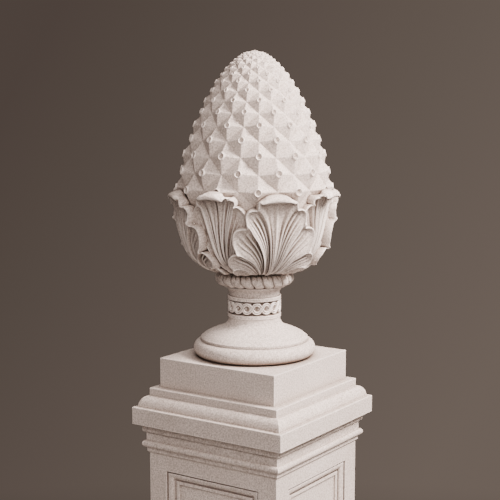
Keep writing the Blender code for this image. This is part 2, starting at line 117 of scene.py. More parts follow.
# Crest of one half of a leaf, lobe by lobe from the tip to the foot: degrees from the midrib, and
# metres along the blade
FRONT_LOBES = (
    ((0.0, 0.269), (3.0, 0.2695), (6.5, 0.2712), (9.5, 0.2738), (11.3, 0.2738), (12.4, 0.266),
     (12.7, 0.253), (12.9, 0.24), (13.4, 0.229), (14.6, 0.225)),
    ((14.6, 0.225), (17.4, 0.2262), (19.6, 0.2215), (21.2, 0.211), (21.0, 0.196), (20.1, 0.182)),
    ((20.1, 0.182), (21.4, 0.175), (25.0, 0.1745), (28.8, 0.17), (30.8, 0.158), (30.8, 0.14),
     (29.2, 0.124), (27.8, 0.113)),
    ((27.8, 0.113), (30.8, 0.111), (34.0, 0.107), (36.6, 0.097), (37.0, 0.085), (34.6, 0.075),
     (32.6, 0.07)),
    ((32.6, 0.07), (36.0, 0.062), (37.6, 0.048), (34.8, 0.032)),
)
BACK_LOBES = (
    ((0.0, 0.27), (3.5, 0.2705), (7.0, 0.2725), (8.9, 0.271), (9.9, 0.259), (10.4, 0.248)),
    ((10.4, 0.248), (12.4, 0.2495), (14.4, 0.244), (14.9, 0.235), (14.1, 0.229)),
    ((14.1, 0.229), (16.5, 0.2265), (19.5, 0.219), (22.5, 0.206), (23.5, 0.19), (22.0, 0.175)),
    ((22.0, 0.175), (26.0, 0.172), (29.0, 0.16), (30.0, 0.14), (27.8, 0.113)),
    ((27.8, 0.113), (32.0, 0.106), (34.0, 0.085), (32.6, 0.06), (30.0, 0.032)),
)
# Grooves from the base of the leaf to its notches, the midrib first and the lower margin last
FRONT_GROOVES = (
    ((0.0, 0.0), (0.0, 0.07), (0.0, 0.14), (0.0, 0.21), (0.0, 0.279)),
    ((1.2, 0.0), (2.1, 0.05), (3.2, 0.1), (4.9, 0.148), (7.5, 0.183), (10.8, 0.206), (14.6, 0.225)),
    ((5.0, 0.0), (6.6, 0.05), (8.6, 0.098), (12.2, 0.133), (16.0, 0.155), (20.1, 0.182)),
    ((8.5, 0.0), (10.5, 0.035), (13.6, 0.067), (18.0, 0.088), (22.6, 0.099), (27.8, 0.113)),
    ((14.0, 0.0), (17.0, 0.022), (20.5, 0.044), (25.0, 0.06), (32.6, 0.07)),
    ((22.5, 0.0), (26.0, 0.012), (30.0, 0.024), (34.8, 0.032)),
)
BACK_GROOVES = (
    ((0.0, 0.0), (0.0, 0.07), (0.0, 0.14), (0.0, 0.21), (0.0, 0.279)),
    ((1.0, 0.0), (1.6, 0.05), (2.4, 0.1), (3.6, 0.15), (5.2, 0.19), (7.4, 0.222), (10.4, 0.248)),
    ((3.0, 0.0), (4.0, 0.05), (5.4, 0.1), (7.8, 0.145), (10.6, 0.185), (14.1, 0.229)),
    ((6.0, 0.0), (7.5, 0.04), (10.0, 0.08), (13.6, 0.118), (17.6, 0.147), (22.0, 0.175)),
    ((10.0, 0.0), (12.5, 0.03), (16.0, 0.056), (20.5, 0.08), (27.8, 0.113)),
    ((23.5, 0.0), (25.5, 0.01), (28.0, 0.021), (30.0, 0.032)),
)
# Height of the carving across a lobe, in steps of the relief, from its upper groove to its lower border
TIP_CARVING = (
    (0.00, 0.10), (0.16, -0.10), (0.34, 0.22), (0.52, -0.18), (0.78, 0.62), (0.93, 0.45), (1.00, -0.60),
)
LOBE_CARVING = (
    (0.00, -0.60), (0.07, -1.00), (0.30, -0.62), (0.55, 0.10), (0.82, 0.90), (0.96, 1.00), (1.00, -0.60),
)
# Narrow ridges on the upper half of each lobe, in the same steps, where along the lobe they show, and
# their share at its foot, which doubles up to the crest
LOBE_RIDGES = (
    (0.00, 0.00), (0.08, -0.20), (0.18, 0.62), (0.28, -0.40), (0.38, 0.62), (0.48, -0.30), (0.58, 0.32),
    (0.66, -0.10), (0.72, 0.00), (1.00, 0.00),
)
RIDGES_START = (0.06, 0.26)
RIDGES_END = (0.84, 1.00)
RIDGES_AT_FOOT = 0.7
# Carving: relief, its share at the foot of a groove and where it is full, the share lost at the crest and
# where, and where it runs out before the smooth tip
CARVING_RELIEF = 0.0062
CARVING_AT_FOOT = 0.20
CARVING_SWELL = (0.05, 0.55)
CARVING_LOSS = 0.45
CARVING_LOSS_SPAN = (0.86, 1.0)
CARVING_END = (0.232, 0.252)
# Relief of the shortest grooves against the longest, and from which length on it is full
SHORT_RELIEF = 0.60
FULL_RELIEF_REACH = 0.15
# Shares of the carving and ridges that the leaves behind have
BACK_TIP_CARVING = 0.6
BACK_RIDGES = 0.5
# Vertices along each lobe, rows along the blade and down its flank, and how these crowd towards the crest
FRONT_STEPS = (60, 44, 60, 44, 30)
BACK_STEPS = (50, 34, 44, 24, 12)
LEAF_ROWS = 60
ROW_CROWDING = 0.9
FLANK_ROWS = 9
FLANK_CROWDING = 1.3
# Height of the blades over their path. The leaves behind lie lower, and only their tips are raised
FRONT_LIFT = 0.0030
BACK_LIFT = -0.0055
BACK_LIFT_SPAN = (0.01, 0.06)
BACK_RAISE = 0.0050
BACK_RAISE_SPAN = (0.20, 0.26)
# The lower lobes of the leaves behind lie under the leaves in front
COVERED_LOBES = (2.7, 3.3)
COVERED_SPAN = (0.015, 0.055)
COVERED_DEPTH = 0.0080
# Dish and rim of the lobes, which grow over part of the tip lobe and from the lowest lobe up
FRONT_DISH = 0.0110
BACK_DISH = 0.0050
DISH_POWER = 5.0
RIM_HEIGHT = 0.0060
RIM_WIDTH = 0.0065
RIM_POWER = 1.5
RIM_AT_TIP = 0.25
RIM_LOSS = 0.40
RIM_LOSS_SPAN = (0.30, 0.62)
TIP_TO_SIDES = (0.35, 0.95)
MARGIN_START = 0.10
# Knobs at the notches: height, width in lobes and length
KNOB_HEIGHT = 0.0065
KNOB_WIDTH = 0.085
KNOB_LENGTH = 0.0085
# Fine hatching across each lobe and along its grooves
HATCH_PLACE = 0.74
HATCH_SPREAD = 0.13
HATCH_FADE = 0.8
HATCH_ALONG = 0.62
HATCH_LENGTH = 0.12
HATCH_LINES = 4
HATCH_DEPTH = 0.0006
# Depth and half width of the midrib's groove, and height and place of the ridges beside it. In front both
# are turned over, to a raised rib between two grooves
FRONT_MIDRIB = (-0.0040, 0.0052, -0.0012, 0.0120)
BACK_MIDRIB = (0.0052, 0.0019, 0.0022, 0.0050)
MIDRIB_START = 0.10
MIDRIB_RIDGE_SPREAD = 0.6
# Flank from the crest down into the stone, and the wider lip that it becomes at the tip
FLANK_WIDTH = 0.0080
FLANK_DROP = 0.0260
FLANK_OUT_POWER = 0.6
FLANK_DROP_POWER = 1.6
FLANK_SMOOTHING = 7
CREST_SMOOTHING = 4
LIP_HEIGHT = 0.0205
LIP_SWELL = 0.0052
LIP_SPAN = (0.235, 0.262)
LIP_HALF_ANGLE = 12
LIP_TAPER = 0.50
LIP_SMOOTHING = 6
# Back of a leaf, inside the stone: shares of the flank's last row in breadth and height, and in radius
BACK_SHARES = ((0.6, 0.69), (0.2, 0.53))
BACK_HEIGHT = 0.24

# Rope collar
ROPE_RING_RADIUS = 0.0850
ROPE_RADIUS = 0.0175
ROPE_HEIGHT = 0.2040
ROPE_STRANDS = 22
ROPE_TURN = 7.4
ROPE_RINGS = 48
ROPE_STRAND_STEPS = 24
# Slant of the strands below and above the rope's widest line, in strands, and where it grows, in radians
ROPE_SLANT_BELOW = 0.30
ROPE_BELOW_SPAN = (0.1, -1.2)
ROPE_SLANT_ABOVE = 0.08
ROPE_ABOVE_SPAN = (0.3, 1.4)
# Depth between the strands, where it starts and the share of it that rounds them, and the nick in a strand
ROPE_GROOVE = 0.0064
ROPE_GROOVE_SPAN = (0.78, 1.0)
ROPE_ROUNDING = 0.40
ROPE_NICK = 0.0042
ROPE_NICK_PLACE = 0.52
ROPE_NICK_WIDTH = 0.055
ROPE_NICK_SPAN = (-0.1, 0.8)

# Turned foot and neck. Their corners are rounded from a number of degrees on, up to a share of each side
CORNER_TURN = 20
CORNER_WIDEST = 100
CORNER_SHARE = 0.45
FOOT_COLUMNS = 192
NECK_COLUMNS = 160
TORUS_RADIUS = 0.1588
TORUS_HEIGHT = 0.0410
RIM_RADIUS = 0.1397
RIM_TOP = 0.0485
BELL_PROFILE = (
    (0.1385, 0.049), (0.132, 0.0545), (0.121, 0.061), (0.106, 0.0675), (0.091, 0.073),
    (0.0795, 0.0785), (0.0715, 0.086), (0.068, 0.094), (0.067, 0.1025),
)
FOOT_HEAD = (0.0689, 0.1028)
FOOT_SOFTNESS = 0.0012
BAND_RADIUS = 0.0694
BAND_BOTTOM = 0.1025
BAND_TOP = 0.1583
NECK_RADIUS = 0.0655
NECK_FOOT = 0.1600
NECK_LIP_RADIUS = 0.0790
NECK_LIP_HEIGHT = 0.1810
NECK_LIP_TOP = 0.1835
NECK_SOFTNESS = 0.0008
# Ends of the neck inside the band and inside the rope
NECK_CORE_RADIUS = 0.0600
NECK_SUNK = 0.0040
NECK_HEAD = ((0.0750, 0.1865), (0.0700, 0.2360))

# Guilloche band
BAND_FILLET = 0.0100
BAND_FILLET_EDGE = (0.0003, 0.0004)
BAND_EYES = 16
BAND_PITCH = 2 * math.pi * BAND_RADIUS / BAND_EYES
BAND_TURN = 11.3
BAND_ROWS = 92
BAND_EYE_STEPS = 40
BAND_CORE_RADIUS = 0.0530
BAND_CORE_INSET = 0.0010
BAND_ARRIS = 0.0012
BAND_ARRIS_DROP = 0.0008
RIBBON_CENTRE = 0.0112
RIBBON_WIDTH = 0.0088
RIBBON_RELIEF = 0.0050
RIBBON_SET_BACK = 0.0004
RIBBON_BEAD_POWER = 0.9
# How far the lower ribbon dips at a crossing, and over which distances from it
UNDERPASS = 0.0030
UNDERPASS_SPAN = (0.0045, 0.0080)
BAND_GROUND = 0.0130
BAND_EYE_DEPTH = 0.0115
BAND_EYE_CUP = 0.75

# Square stones
PLINTH_SIDE = 0.352
STEP_SIDE = 0.392
STEP_HEIGHT = 0.020
OVOLO_SIDE = 0.435
OVOLO_HEIGHT = 0.029
FASCIA_SIDE = 0.457
FASCIA_HEIGHT = 0.045
BLOCK_SIDE = 0.393
BLOCK_HEIGHT = 0.390
STILE_WIDTH = 0.054
TOP_RAIL = 0.041
BOTTOM_RAIL = 0.054
BED_FILLET_SIDE = 0.403
BED_FILLET_FOOT = 0.0055
BED_FILLET_TOP = 0.0130
BEAD_RADIUS = 0.0090
BEAD_CENTRE = 0.0255
FRIEZE_SIDE = 0.405
CYMA_SIDE = 0.437
CYMA_HEIGHT = 0.019
CYMA_LIP = 0.003
ARRIS_SOFTNESS = 0.0014
ARRIS_ANGLE = 28
# Moulding round a panel, as inset from its edge and depth below the face: quirk, ovolo by its centre and
# radii, channel, fillet and field
PANEL_QUIRK = ((0.0, 0.0), (0.0006, 0.0065), (0.0040, 0.0065))
PANEL_OVOLO_CENTRE = (0.0042, 0.0120)
PANEL_OVOLO_RADII = (0.0150, -0.0090)
PANEL_CHANNEL = ((0.0210, 0.0140), (0.0235, 0.0140))
PANEL_FILLET = ((0.0245, 0.0105), (0.0325, 0.0105))
PANEL_FIELD = ((0.0335, 0.0160),)

# Cast stone: sheen, sandy bump, noises as scale, detail and roughness, and tones of clouds and flecks
STONE_ROUGHNESS = 0.88
STONE_SPECULAR = 0.25
BUMP_STRENGTH = 0.35
BUMP_HEIGHT = 0.0006
CLOUD_NOISE = (7.0, 4.0, 0.60)
FLECK_NOISE = (250.0, 3.0, 0.85)
SAND_NOISE = (1100.0, 1.0, 0.50)
CLOUD_TONES = ((0.30, (0.650, 0.585, 0.545, 1)), (0.70, (0.740, 0.680, 0.640, 1)))
FLECK_TONES = ((0.36, (0.54, 0.51, 0.48, 1)), (0.60, (1.14, 1.14, 1.14, 1)))
# Painted shade in wide and in narrow hollows: width, colour where it is darkest, and openness where it ends
HOLLOW_PAINTED_SHADE = ((0.030, (0.42, 0.365, 0.325, 1), 0.92), (0.007, (0.22, 0.185, 0.16, 1), 0.84))
HOLLOW_SHADE_FULLEST = 0.20
# Painted highlight along the arrises: width, colour and amounts, from the thinnest edges, which get less, to
# flat faces
ARRIS_HIGHLIGHT_WIDTH = 0.0042
ARRIS_HIGHLIGHT_COLOUR = (0.95, 0.90, 0.86, 1)
ARRIS_HIGHLIGHT_AMOUNTS = ((0.10, 0.25), (0.42, 0.60), (0.62, 0.85), (0.86, 0.0))

# Camera: metres from the axis and over the plinth, degrees, and millimetres of lens and sensor
CAMERA_DISTANCE = 3.045
CAMERA_HEIGHT = 0.683
CAMERA_AZIMUTH = 33.83
CAMERA_PITCH = 7.63
CAMERA_YAW = 0.217
LENS = 85.2
SENSOR_WIDTH = 36.0

# Soft lamps: name, degrees to the right of the camera, elevation, width and watts
LAMPS = (
    ("key", 67, 41, 1.1, 430),
    ("front_fill", 9, 26, 2.4, 114),
    ("side_fill", -90, 10, 1.2, 9),
    ("back_fill", 190, 30, 1.2, 25),
)
LAMP_DISTANCE = 3.2
LAMP_TARGET = 0.9
LAMP_COLOUR = (1.0, 0.86, 0.80)

# Floor and surround
FLOOR_RADIUS = 0.55
FLOOR_LEVEL = -0.0005
FLOOR_COLOUR = (0.42, 0.40, 0.38, 1)
SURROUND_TONES = ((0.25, (0.082, 0.062, 0.052, 1)), (0.78, (0.158, 0.124, 0.103, 1)))
SURROUND_SLOPE = -0.6
SURROUND_MIDDLE = 0.45
# Below these levels the surround is darker
SURROUND_FADE = (-0.50, -0.32)
SURROUND_LOW_STRENGTH = 0.12


# Shared helpers

def smoothstep(low, high, x):
    """0 below low, 1 above high, and a smooth rise between."""
    t = np.clip((x - low) / (high - low), 0.0, 1.0)
    return t * t * (3 - 2 * t)


def bell(x, width):
    """Smooth hump of height 1 about 0."""
    return np.exp(-(x / width) ** 2)


def around(degrees, radius, height):
    """Points at angles round the axis, as an array whose last side is x, y, z."""
    angle = np.radians(degrees)
    return np.stack(np.broadcast_arrays(radius * np.sin(angle), -radius * np.cos(angle), height), axis=-1)


def round_angles(columns):
    """Angles of a number of columns spaced evenly round the axis."""
    return np.arange(columns) / columns * 360


def smooth_curve(points, steps):
    """Curve through the points, as steps short pieces between each two of them."""
    points = np.array(points, float)
    padded = np.vstack([2 * points[0] - points[1], points, 2 * points[-1] - points[-2]])
    t = (np.arange(steps) / steps)[:, None]
    pieces = []
    for a, b, c, d in zip(padded, padded[1:], padded[2:], padded[3:]):
        pieces.append(b + 0.5 * t * (c - a + t * (2 * a - 5 * b + 4 * c - d + t * (3 * b - a - 3 * c + d))))
    return np.vstack(pieces + [points[-1:]])


def lengths_along(curve):
    """Distance from the start of a curve to each of its points."""
    steps = np.linalg.norm(np.diff(curve, axis=0), axis=1)
    return np.concatenate([[0.0], np.cumsum(steps)])


def new_object(name, data):
    """Add an object to the scene."""
    thing = bpy.data.objects.new(name, data)
    bpy.context.scene.collection.objects.link(thing)
    return thing


def new_piece(name, vertices, faces, node):
    """Add a mesh as a piece that stands for a node of the frame."""
    mesh = bpy.data.meshes.new(name)
    mesh.from_pydata(vertices, [], faces)
    mesh.update()
    mesh.shade_smooth()
    piece = new_object(name, mesh)
    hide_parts(node)
    return piece


def stand_finial(piece):
    """Set a part of the finial on the plinth, turned as the finial is."""
    turn = Matrix.Rotation(math.radians(FINIAL_TURN), 4, "Z")
    piece.data.transform(Matrix.Translation((0, 0, FINIAL_FOOT)) @ turn)
    return piece


def grid_faces(rows, columns, round_columns=False, round_rows=False):
    """Faces of a grid of vertices, closed round its columns and its rows where asked."""
    index = np.arange(rows * columns).reshape(rows, columns)
    if round_rows:
        index = np.vstack([index, index[:1]])
    if round_columns:
        index = np.hstack([index, index[:, :1]])
    a, b, c, d = index[:-1, :-1], index[:-1, 1:], index[1:, 1:], index[1:, :-1]
    return np.stack([a, b, c, d], axis=-1).reshape(-1, 4).tolist()


def turned_piece(name, loops, node):
    """Closed piece from loops of points, from its underside to its top, capped at both ends."""
    loops = np.array(loops)
    rows, columns = loops.shape[:2]
    faces = grid_faces(rows, columns, round_columns=True)
    faces.append(list(range(columns))[::-1])
    faces.append(list(range((rows - 1) * columns, rows * columns)))
    return new_piece(name, loops.reshape(-1, 3).tolist(), faces, node)


def weld(piece):
    """Join vertices that lie on one another, and turn all faces outward."""
    bm = bmesh.new()
    bm.from_mesh(piece.data)
    bmesh.ops.remove_doubles(bm, verts=bm.verts, dist=WELD_DISTANCE)
    bmesh.ops.recalc_face_normals(bm, faces=bm.faces)
    bm.to_mesh(piece.data)
    bm.free()


def colour_ramp(tree, source, stops):
    """Colour that follows a value through stops, each a position and a colour."""
    ramp = tree.nodes.new("ShaderNodeValToRGB")
    elements = ramp.color_ramp.elements
    for element, (position, colour) in ((elements[0], stops[0]), (elements[1], stops[-1])):
        element.position = position
        element.color = colour
    for position, colour in stops[1:-1]:
        elements.new(position).color = colour
    tree.links.new(source, ramp.inputs["Fac"])
    return ramp.outputs["Color"]


# Egg-shaped body with diamond facets

def egg_radius(height):
    """Radius over the facet points."""
    if height < EGG_WIDEST:
        below = (EGG_WIDEST - height) / EGG_UNDERSIDE
        return EGG_RADIUS * math.sqrt(1 - below * below)
    above = min(1.0, (height - EGG_WIDEST) / (EGG_TOP - EGG_WIDEST))
    return EGG_RADIUS * (1 - above ** EGG_POINT_POWER) ** EGG_ROUND_POWER


def egg_frame(degrees, height, depth):
    """Point below the surface over the facet points, and the outward direction there."""
    step = 0.0005
    slope = (egg_radius(height + step) - egg_radius(height - step)) / (2 * step)
    length = math.hypot(1, slope)
    point = around(degrees, egg_radius(height) - depth / length, height + depth * slope / length)
    return point, around(degrees, 1 / length, -slope / length)


def facet_rows():
    """Heights of the rows, each a fixed share of the facets' half width above the last."""
    rows = [FACET_FOOT_ROW, FACET_FIRST_ROW]
    while egg_radius(rows[-1]) > FACET_LAST_RADIUS:
        height = rows[-1]
        distance = FACET_ROW_RATIO * egg_radius(height) * math.pi / FACETS_PER_ROW
        slope = (egg_radius(height + distance / 2) - egg_radius(height)) / (distance / 2)
        rows.append(height + distance / math.hypot(1, slope))
    return rows


def facet_corner(rows, row, column):
    """Place of a facet's point or of a corner between facets, and the outward direction there."""
    height = rows[row]
    depth = FACET_RELIEF_RATIO * egg_radius(height) * math.pi / FACETS_PER_ROW
    if row == 0:
        depth = FACET_FOOT_DEPTH
    elif row < len(rows) - 1 and (row + column) % 2 == 1:
        depth = 0.0
    degrees = column * 180 / FACETS_PER_ROW + FACET_TURN + FACET_TWIST * max(0, row - 1)
    return egg_frame(degrees, height, depth)


def facet_rings():
    """Rings of one facet round its point, in shares of its half width and half height.

    With each goes its share of the eye's radius, or 2 past the eye.
    """
    edge = []
    for quarter in range(4):
        for step in QUARTER_STEPS:
            x, y = (1 - step, step) if quarter % 2 == 0 else (-step, 1 - step)
            edge.append((-x, -y) if quarter >= 2 else (x, y))
    edge = np.array(edge)
    squeeze = np.array([1.0, FACET_ROW_RATIO])
    circle = edge * squeeze
    circle = circle / np.linalg.norm(circle, axis=1)[:, None] / squeeze * EYE_RATIO
    rings = [(circle * share, share) for share in EYE_RINGS]
    rings += [(circle + (edge - circle) * share, 2.0) for share in FACET_RINGS]
    return rings


def eye_height(share):
    """Height of the drilled eye and its rim over the facet's point, in half widths."""
    if share < EYE_RIM_START:
        cup = EYE_DEPTH_RATIO * math.sqrt(1 - (share / EYE_RIM_START) ** 2)
        return -EYE_RIM_DROP - cup
    across = (share - EYE_RIM_START) / (1 - EYE_RIM_START)
    return -EYE_RIM_DROP + EYE_RIM_ROUND * math.sin(math.pi * across) - 0.5 * EYE_RIM_DROP * across ** 3


def facet_lift(x, y, share, half_width):
    """How far a facet's surface stands over its four flat sides."""
    relief = FACET_RELIEF_RATIO * half_width
    if share <= 1.0:
        return eye_height(share) * half_width + relief * (abs(x) + abs(y))
    rounded = math.hypot(x, RIDGE_ROUNDING) + math.hypot(y, RIDGE_ROUNDING) - abs(x) - abs(y)
    inside = 1 - abs(x) - abs(y)
    filled = math.hypot(inside, VALLEY_ROUNDING) - inside
    return relief * (filled - rounded)


def add_facet(vertices, faces, rings, corners, half_width):
    """One pyramid with a drilled eye, from the places of its point and its four corners."""
    point, outward, right, left, top, bottom = corners
    first = len(vertices)
    count = len(QUARTER_STEPS) * 4
    vertices.append(point + outward * facet_lift(0.0, 0.0, 0.0, half_width))
    for ring, share in rings:
        for x, y in ring:
            across = (right if x >= 0 else left) - point
            along = (top if y >= 0 else bottom) - point
            lift = facet_lift(x, y, share, half_width)
            vertices.append(point + across * abs(x) + along * abs(y) + outward * lift)
    for n in range(count):
        m = (n + 1) % count
        faces.append((first, first + 1 + n, first + 1 + m))
        for ring in range(len(rings) - 1):
            low = first + 1 + ring * count
            high = low + count
            faces.append((low + n, high + n, high + m, low + m))


def add_facets(vertices, faces, rows):
    """All the facets from the first row to the last but one."""
    rings = facet_rings()
    for row in range(1, len(rows) - 1):
        half_width = egg_radius(rows[row]) * math.pi / FACETS_PER_ROW
        for column in range(EGG_COLUMNS):
            if (row + column) % 2 == 0:
                continue
            point, outward = facet_corner(rows, row, column)
            around_it = [facet_corner(rows, row + up, column + side)[0]
                         for up, side in ((0, 1), (0, -1), (1, 0), (-1, 0))]
            add_facet(vertices, faces, rings, [point, outward] + around_it, half_width)


def add_corners(vertices, rows, row):
    """Add the points and corners of a row, and give the number of the first."""
    first = len(vertices)
    vertices += [facet_corner(rows, row, column)[0] for column in range(EGG_COLUMNS)]
    return first


def add_bowl(vertices, faces, rows):
    """The bowl that carries the leaves, from the lowest facets down to its closed foot."""
    previous = add_corners(vertices, rows, 0)
    above = add_corners(vertices, rows, 1)
    for column in range(1, EGG_COLUMNS, 2):
        left, right = column - 1, (column + 1) % EGG_COLUMNS
        faces.append((above + column, previous + left, previous + column))
        faces.append((above + column, previous + column, previous + right))
    for radius, height in BOWL_PROFILE:
        here = len(vertices)
        vertices += list(around(FACET_TURN + round_angles(EGG_COLUMNS), radius, height))
        for column in range(EGG_COLUMNS):
            after = (column + 1) % EGG_COLUMNS
            faces.append((here + column, here + after, previous + after, previous + column))
        previous = here
    faces.append([previous + column for column in range(EGG_COLUMNS)][::-1])


def add_tip(vertices, faces, rows):
    """The small point over the last row."""
    last = len(rows) - 1
    rim = add_corners(vertices, rows, last)
    below = add_corners(vertices, rows, last - 1)
    tip = len(vertices)
    vertices.append(np.array([0.0, 0.0, EGG_TOP]))
    for column in range(EGG_COLUMNS):
        before, after = (column - 1) % EGG_COLUMNS, (column + 1) % EGG_COLUMNS
        faces.append((rim + column, rim + after, tip))
        if (last - 1 + column) % 2 == 0:
            faces.append((below + column, rim + column, rim + before))
            faces.append((below + column, rim + after, rim + column))


def egg_piece():
    """The faceted body, closed at its top and by the bowl that carries the leaves."""
    rows = facet_rows()
    vertices = []
    faces = []
    add_facets(vertices, faces, rows)
    add_bowl(vertices, faces, rows)
    add_tip(vertices, faces, rows)
    piece = new_piece("finial_egg", [tuple(vertex) for vertex in vertices], faces, FINIAL)
    weld(piece)
    stand_finial(piece)
    # Flat faces shade flat up to their rounded arrises
    piece.data.set_sharp_from_angle(angle=math.radians(EGG_FLAT_ANGLE))
    piece.modifiers.new("flat_faces", "WEIGHTED_NORMAL").keep_sharp = True
    return piece


# Acanthus leaves

def blade_path():
    """Middle of a leaf's blade: distance, radius, height and the two parts of the outward direction."""
    curve = smooth_curve(LEAF_PATH, 20)
    distance = lengths_along(curve)
    tangent = np.gradient(curve, distance, axis=0)
    tangent /= np.linalg.norm(tangent, axis=1)[:, None]
    return distance, curve[:, 0], curve[:, 1], tangent[:, 1], -tangent[:, 0]


def leaf_curve(points):
    """Smooth curve on a leaf, as degrees, distances and lengths from its start."""
    curve = smooth_curve(np.array(points) * (LEAF_DEGREE, 1.0), 12)
    return curve[:, 0] / LEAF_DEGREE, curve[:, 1], lengths_along(curve)


def leaf_crest(lobes, steps):
    """Crest of a whole leaf from its right foot over the tip to its left foot.

    Gives the angle, the distance along the blade, and the lobe number with the share of the lobe passed.
    """
    half = []
    for number, (points, count) in enumerate(zip(lobes, steps)):
        degrees, distance, along = leaf_curve(points)
        share = np.arange(count) / count
        angle = np.interp(share * along[-1], along, degrees)
        half.append(np.stack([angle, np.interp(share * along[-1], along, distance), number + share], axis=-1))
    half = np.vstack(half + [(*lobes[-1][-1], len(lobes))])
    return np.vstack([half[::-1], half[1:] * (-1.0, 1.0, 1.0)])


def eased(keys, x):
    """Curve through key heights that is level at each of them."""
    keys = np.array(keys)
    index = np.clip(np.searchsorted(keys[:, 0], x, side="right") - 1, 0, len(keys) - 2)
    low, high = keys[index], keys[index + 1]
    return low[..., 1] + (high[..., 1] - low[..., 1]) * smoothstep(low[..., 0], high[..., 0], x)


def leaf_rays(crest, guides):
    """Fan of rays from the base of the leaf to each point of its crest, along the carved grooves."""
    angle, reach, place = crest[:, 0], crest[:, 1], crest[:, 2]
    along = np.linspace(0, 1, LEAF_ROWS) ** ROW_CROWDING
    grooves = []
    for points in guides:
        degrees, distance, length = leaf_curve(points)
        share = length / length[-1]
        grooves.append([np.interp(along, share, degrees), np.interp(along, share, distance)])
    grooves = np.array(grooves)
    lower = np.clip(np.floor(place).astype(int), 0, len(grooves) - 2)
    share = (place - lower)[:, None]
    degrees = grooves[lower, 0] * (1 - share) + grooves[lower + 1, 0] * share
    distance = grooves[lower, 1] * (1 - share) + grooves[lower + 1, 1] * share
    side = np.sign(angle)[:, None]
    ease = along[None, :] ** 3
    degrees = degrees * side + (angle[:, None] - degrees[:, -1:] * side) * ease
    distance = distance + (reach[:, None] - distance[:, -1:]) * ease
    return degrees, distance, along[None, :]


def lobe_carving(crest, along, is_front):
    """Fluting of the lobes, with the narrow ridges and the fine hatching on it."""
    place = crest[:, 2:3]
    share = place - np.floor(place)
    on_tip = place < 1
    tip_size = 1.0 if is_front else BACK_TIP_CARVING
    fluting = np.where(on_tip, tip_size * eased(TIP_CARVING, share), eased(LOBE_CARVING, share))
    swell = CARVING_AT_FOOT + (1 - CARVING_AT_FOOT) * smoothstep(*CARVING_SWELL, along)
    fluting = fluting * swell * (1 - CARVING_LOSS * smoothstep(*CARVING_LOSS_SPAN, along))
    shown = smoothstep(*RIDGES_START, along) * (1 - smoothstep(*RIDGES_END, along))
    shown = shown * RIDGES_AT_FOOT * (1 + along)
    ridges = np.where(on_tip, 0.0, eased(LOBE_RIDGES, share)) * shown * (1.0 if is_front else BACK_RIDGES)
    from_hatch = (share - HATCH_PLACE) / HATCH_SPREAD
    hatched = bell(from_hatch, HATCH_FADE) * (np.abs(from_hatch) < 1) * ~on_tip
    hatched = hatched * bell(along - HATCH_ALONG, HATCH_LENGTH)
    hatching = HATCH_DEPTH * hatched * (1 + np.cos(np.pi * HATCH_LINES * (from_hatch + 1)))
    return CARVING_RELIEF * (fluting + ridges) - hatching


def midrib_height(side_way, along, is_front):
    """Groove of the midrib with a ridge on either side, against the distance from the leaf's middle."""
    depth, width, ridge_height, ridge_place = FRONT_MIDRIB if is_front else BACK_MIDRIB
    groove = -depth * bell(side_way, width)
    ridge = ridge_height * bell(np.abs(side_way) - ridge_place, MIDRIB_RIDGE_SPREAD * ridge_place)
    return (groove + ridge) * smoothstep(0.0, MIDRIB_START, along)


def lobe_margin(crest, along, is_front):
    """Dish of the lobes, the rim along their crest and the knobs at their notches."""
    reach, place = crest[:, 1:2], crest[:, 2:3]
    share = place - np.floor(place)
    sides = smoothstep(*TIP_TO_SIDES, place)
    to_crest = (1 - along) * reach
    dish = (FRONT_DISH if is_front else BACK_DISH) * along ** DISH_POWER * sides
    rim = RIM_HEIGHT * (1 - np.clip(to_crest / RIM_WIDTH, 0.0, 1.0)) ** RIM_POWER
    rim = rim * (1 - RIM_LOSS * smoothstep(*RIM_LOSS_SPAN, share) * sides)
    rim = rim * (RIM_AT_TIP + (1 - RIM_AT_TIP) * sides)
    from_notch = np.abs(place - np.clip(np.round(place), 2, len(FRONT_LOBES) - 1))
    knob = KNOB_HEIGHT * bell(from_notch, KNOB_WIDTH) * bell(to_crest, KNOB_LENGTH)
    return (dish + rim + knob) * smoothstep(0.0, MARGIN_START, reach)


def leaf_lift(crest, distance, along, side_way, is_front):
    """How far the blade's face stands over its path. The carving runs out before the curled tip."""
    reach, place = crest[:, 1:2], crest[:, 2:3]
    size = SHORT_RELIEF + (1 - SHORT_RELIEF) * np.clip(reach / FULL_RELIEF_REACH, 0.0, 1.0)
    carved = size * lobe_carving(crest, along, is_front) + midrib_height(side_way, along, is_front)
    lift = size * lobe_margin(crest, along, is_front) + carved * (1 - smoothstep(*CARVING_END, distance))
    if is_front:
        return FRONT_LIFT + lift
    lift = lift + BACK_LIFT * smoothstep(*BACK_LIFT_SPAN, distance)
    covered = smoothstep(*COVERED_LOBES, place) * smoothstep(*COVERED_SPAN, distance)
    return lift * (1 - covered) - COVERED_DEPTH * covered


def leaf_surface(path, crest, is_front):
    """Rows of points of the blade, from the base to the crest."""
    degrees, distance, along = leaf_rays(crest, FRONT_GROOVES if is_front else BACK_GROOVES)
    radius, height, outward, upward = [np.interp(distance, path[0], column) for column in path[1:]]
    side_way = np.radians(degrees) * radius
    lift = leaf_lift(crest, distance, along, side_way, is_front)
    radius = radius + outward * lift
    height = height + upward * lift
    if not is_front:
        height = height + BACK_RAISE * smoothstep(*BACK_RAISE_SPAN, distance)
    return degrees, radius, height


def averaged(values, reach):
    """Each value averaged with its neighbours up to a number of places away."""
    padded = np.pad(values, reach, mode="edge")
    return np.convolve(padded, np.ones(2 * reach + 1) / (2 * reach + 1), mode="valid")


